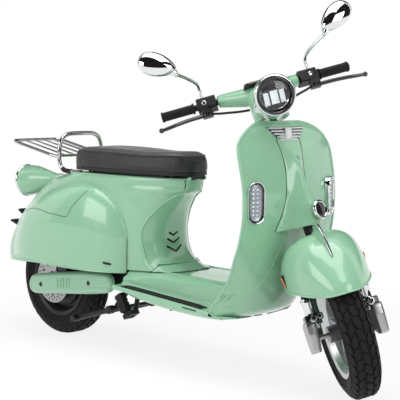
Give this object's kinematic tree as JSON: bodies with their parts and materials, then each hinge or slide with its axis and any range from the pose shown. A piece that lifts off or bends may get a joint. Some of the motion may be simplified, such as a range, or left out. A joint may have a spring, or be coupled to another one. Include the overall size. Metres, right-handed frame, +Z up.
{
  "type": "moped scooter",
  "caption": "Step-through electric moped scooter with a round headlight, bench seat over a storage tub, luggage rack and swingarm rear suspension.",
  "frame": {"origin": "on the ground, at the middle of the box around the scooter as it stands with its bars turned right", "axes": "+X forward, +Y to the rider's left, +Z up"},
  "size_m": [1.836, 0.617, 1.2219],
  "materials": {
    "paint": "mint green gloss paint",
    "chrome": "bright chrome",
    "vinyl": "black vinyl, lightly grained",
    "tyre": "matt black rubber with block tread",
    "rubber": "matt black rubber",
    "alloy": "satin cast aluminium",
    "steel": "brushed steel",
    "black_metal": "satin black paint",
    "black_plastic": "matt black plastic",
    "lens": "clear moulded plastic",
    "amber": "amber plastic",
    "red_plastic": "red plastic"
  },
  "bodies": {
    "chassis": {"main_frame": "black_metal", "rear_body": "paint", "cowl_right": "paint", "cowl_left": "paint", "leg_shield": "paint", "front_panel": "paint", "inner_shield": "paint", "floorboard": "paint", "floor_strips": "rubber", "belly_pan": "paint", "storage_bucket": "black_plastic", "battery_pack": "black_plastic", "rear_rack": "chrome", "tail_housing": "paint", "chrome_trim": "chrome", "lamp_lenses": "lens", "inner_fender": "black_plastic", "shock_shrouds": "black_metal"},
    "seat": {"seat_base": "black_plastic", "seat_cushion": "vinyl"},
    "steering": {"steering_stem": "chrome", "handlebar": "black_metal", "headset_cover": "paint", "headlight_bezel": "chrome", "headlight_body": "black_plastic", "headlight_lens": "lens", "instrument_panel": "black_plastic", "switch_right": "black_plastic", "switch_left": "black_plastic", "grip_left": "rubber", "mirror_stems": "chrome", "fender": "paint", "fender_crest": "chrome", "fender_reflectors": "amber", "brake_hoses": "rubber"},
    "fork": {"fork_sliders": "alloy", "front_caliper": "black_metal"},
    "front_wheel": {"front_rim": "alloy", "front_tyre": "tyre", "front_disc": "steel"},
    "swingarm": {"swingarm": "black_metal", "swing_covers": "paint", "rear_caliper": "black_metal"},
    "rear_wheel": {"rear_rim": "black_metal", "rear_tyre": "tyre", "rear_disc": "steel"},
    "shock_rods": {"shock_rods": "steel"},
    "centre_stand": {"centre_stand": "black_metal"},
    "lever_right": {"lever_right": "black_metal"},
    "lever_left": {"lever_left": "black_metal"},
    "throttle_grip": {"throttle_grip": "rubber"},
    "mirror_right": {"mirror_right": "chrome"},
    "mirror_left": {"mirror_left": "chrome"},
    "horn_button": {"horn_button": "amber"},
    "start_button": {"start_button": "red_plastic"},
    "turn_switch": {"turn_switch": "black_plastic"},
    "ignition_lock": {"ignition_lock": "chrome"},
    "footrest_right": {"footrest_right": "black_plastic"},
    "footrest_left": {"footrest_left": "black_plastic"}
  },
  "joints": [
    {"name": "steering_turn", "type": "hinge", "parent": "chassis", "child": "steering", "pos_m": [0.50075, -0.027, 0.63823], "axis": [-0.4107, 0, 0.9118], "range_deg": [0, 83]},
    {"name": "fork_slide", "type": "slide", "parent": "steering", "child": "fork", "axis": [-0.4107, 0, 0.9118], "range_m": [0, 0.04], "stiffness_N_per_m": 14000, "springref_m": -0.045},
    {"name": "front_wheel_spin", "type": "hinge", "parent": "fork", "child": "front_wheel", "pos_m": [0.73248, -0.05811, 0.20944], "axis": [0.6042, 0.749, 0.2722], "continuous": true},
    {"name": "rear_swing", "type": "hinge", "parent": "chassis", "child": "swingarm", "pos_m": [-0.17075, -0.027, 0.265], "axis": [0, 1, 0], "range_deg": [0, 6], "stiffness_Nm_per_rad": 2000, "springref_deg": -9.17},
    {"name": "rear_wheel_spin", "type": "hinge", "parent": "swingarm", "child": "rear_wheel", "pos_m": [-0.60075, -0.027, 0.212], "axis": [0, 1, 0], "continuous": true},
    {"name": "shock_slide", "type": "slide", "parent": "chassis", "child": "shock_rods", "axis": [0, 0, 1], "range_m": [0, 0.042]},
    {"name": "seat_lift", "type": "hinge", "parent": "chassis", "child": "seat", "pos_m": [0.08125, -0.027, 0.634], "axis": [0, 1, 0], "range_deg": [0, 60]},
    {"name": "stand_swing", "type": "hinge", "parent": "chassis", "child": "centre_stand", "pos_m": [-0.23575, -0.027, 0.15], "axis": [0, -1, 0], "range_deg": [0, 88], "stiffness_Nm_per_rad": 4, "springref_deg": -51.57},
    {"name": "lever_right_pull", "type": "hinge", "parent": "steering", "child": "lever_right", "pos_m": [0.21821, -0.13087, 0.85315], "axis": [0.4107, 0, -0.9118], "range_deg": [0, 18], "stiffness_Nm_per_rad": 1.2, "springref_deg": -14.32},
    {"name": "lever_left_pull", "type": "hinge", "parent": "steering", "child": "lever_left", "pos_m": [0.44779, 0.15373, 0.95657], "axis": [-0.4107, 0, 0.9118], "range_deg": [0, 18], "stiffness_Nm_per_rad": 1.2, "springref_deg": -14.32},
    {"name": "throttle_twist", "type": "hinge", "parent": "steering", "child": "throttle_grip", "pos_m": [0.11888, -0.14661, 0.85978], "axis": [-0.7441, -0.6056, -0.2821], "range_deg": [0, 75], "stiffness_Nm_per_rad": 0.3, "springref_deg": -11.46},
    {"name": "mirror_right_tilt", "type": "hinge", "parent": "steering", "child": "mirror_right", "pos_m": [0.16083, -0.21724, 0.98305], "axis": [0.6042, 0.749, 0.2722], "range_deg": [-10, 10]},
    {"name": "mirror_left_tilt", "type": "hinge", "parent": "steering", "child": "mirror_left", "pos_m": [0.46774, 0.16323, 1.1213], "axis": [0.6042, 0.749, 0.2722], "range_deg": [-10, 10]},
    {"name": "horn_press", "type": "slide", "parent": "steering", "child": "horn_button", "axis": [0.6883, -0.5034, 0.5223], "range_m": [0, 0.003], "stiffness_N_per_m": 300, "springref_m": -0.003},
    {"name": "start_press", "type": "slide", "parent": "steering", "child": "start_button", "axis": [0.4697, -0.7744, 0.4239], "range_m": [0, 0.003], "stiffness_N_per_m": 300, "springref_m": -0.003},
    {"name": "turn_slide", "type": "slide", "parent": "steering", "child": "turn_switch", "axis": [0.44, 0.8622, 0.2513], "range_m": [-0.0055, 0.0055]},
    {"name": "ignition_turn", "type": "hinge", "parent": "chassis", "child": "ignition_lock", "pos_m": [0.41485, -0.097, 0.7], "axis": [-1, 0, 0], "range_deg": [0, 90]},
    {"name": "footrest_right_fold", "type": "hinge", "parent": "chassis", "child": "footrest_right", "pos_m": [-0.12075, -0.155, 0.15], "axis": [0.848, 0, 0.5299], "range_deg": [0, 85]},
    {"name": "footrest_left_fold", "type": "hinge", "parent": "chassis", "child": "footrest_left", "pos_m": [-0.12075, 0.101, 0.15], "axis": [-0.848, 0, -0.5299], "range_deg": [0, 85]}
  ],
  "couplings": [
    {"joint": "shock_slide", "follows": "rear_swing", "m_per_rad": 0.4}
  ]
}
